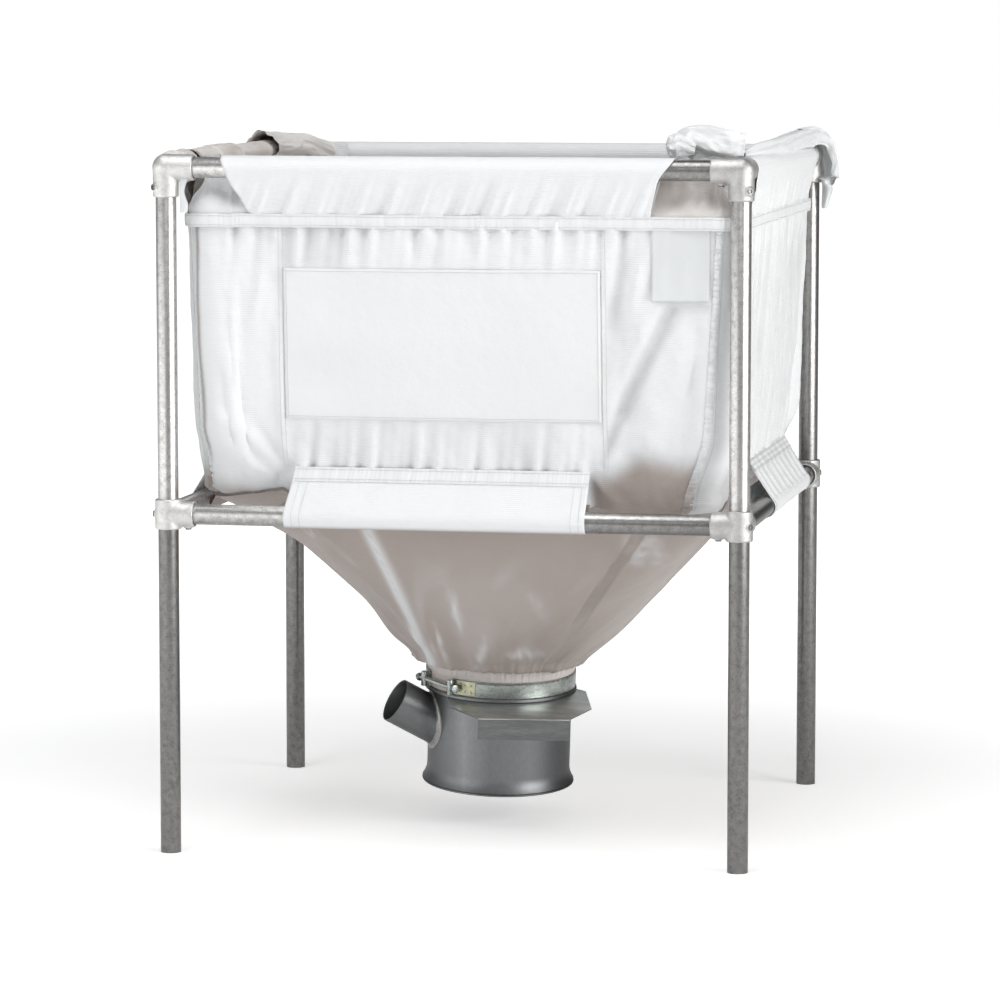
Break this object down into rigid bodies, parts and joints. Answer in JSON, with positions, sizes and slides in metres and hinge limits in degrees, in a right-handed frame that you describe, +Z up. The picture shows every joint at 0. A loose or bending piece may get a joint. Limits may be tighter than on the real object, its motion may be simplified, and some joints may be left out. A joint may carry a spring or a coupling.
{
  "type": "fabric pellet silo",
  "caption": "Square tube frame that hangs an open cloth bag, whose sewn funnel ends in a band-clamped steel outlet pot with a slide gate and a suction stub.",
  "frame": {"origin": "on the floor, under the middle of the box that holds the whole silo", "axes": "+X to the right along the front rails, +Y to the back, +Z up; the front, with the blank patch, faces -Y"},
  "size_m": [0.8028, 0.7286, 0.957],
  "materials": {
    "tube": "galvanised tube, mottled satin grey",
    "casting": "galvanised casting, matte light grey",
    "cloth": "white woven synthetic cloth with sewn seams",
    "patch": "smooth white coated cloth panel, bare",
    "label": "blank white label",
    "pot": "satin grey sheet steel",
    "gate": "streaked sheet steel",
    "zinc": "bright zinc-plated steel"
  },
  "bodies": {
    "frame": {"bag_wall_back": "cloth", "bag_wall_front": "cloth", "bag_wall_left": "cloth", "bag_wall_right": "cloth", "banner_patch": "patch", "clamp_band": "zinc", "clamp_bolt": "zinc", "corner_elbow_back_left": "casting", "corner_elbow_back_right": "casting", "corner_elbow_front_left": "casting", "corner_elbow_front_right": "casting", "cover_bundle_back_left": "cloth", "cover_bundle_front_right": "cloth", "cover_drape_back_right": "cloth", "cover_roll_right": "cloth", "hopper_panel_back": "cloth", "hopper_panel_front": "cloth", "hopper_panel_left": "cloth", "hopper_panel_right": "cloth", "info_label": "label", "leg_back_left": "tube", "leg_back_right": "tube", "leg_front_left": "tube", "leg_front_right": "tube", "lower_fitting_back_left": "casting", "lower_fitting_back_right": "casting", "lower_fitting_front_left": "casting", "lower_fitting_front_right": "casting", "lower_rail_back": "tube", "lower_rail_front": "tube", "lower_rail_left": "tube", "lower_rail_right": "tube", "lower_tunnel_back": "cloth", "lower_tunnel_front": "cloth", "lower_tunnel_left": "cloth", "lower_tunnel_right": "cloth", "neck_cuff": "cloth", "outlet_pot": "pot", "suction_stub": "pot", "top_rail_back": "tube", "top_rail_front": "tube", "top_rail_left": "tube", "top_rail_right": "tube", "top_sleeve_back": "cloth", "top_sleeve_front": "cloth", "top_sleeve_left": "cloth", "top_sleeve_right": "cloth"},
    "gate": {"slide_gate": "gate"}
  },
  "joints": [
    {"name": "gate_slide", "type": "slide", "parent": "frame", "child": "gate", "axis": [0.251, -0.9644, -0.0837], "range_m": [0, 0.15]}
  ]
}
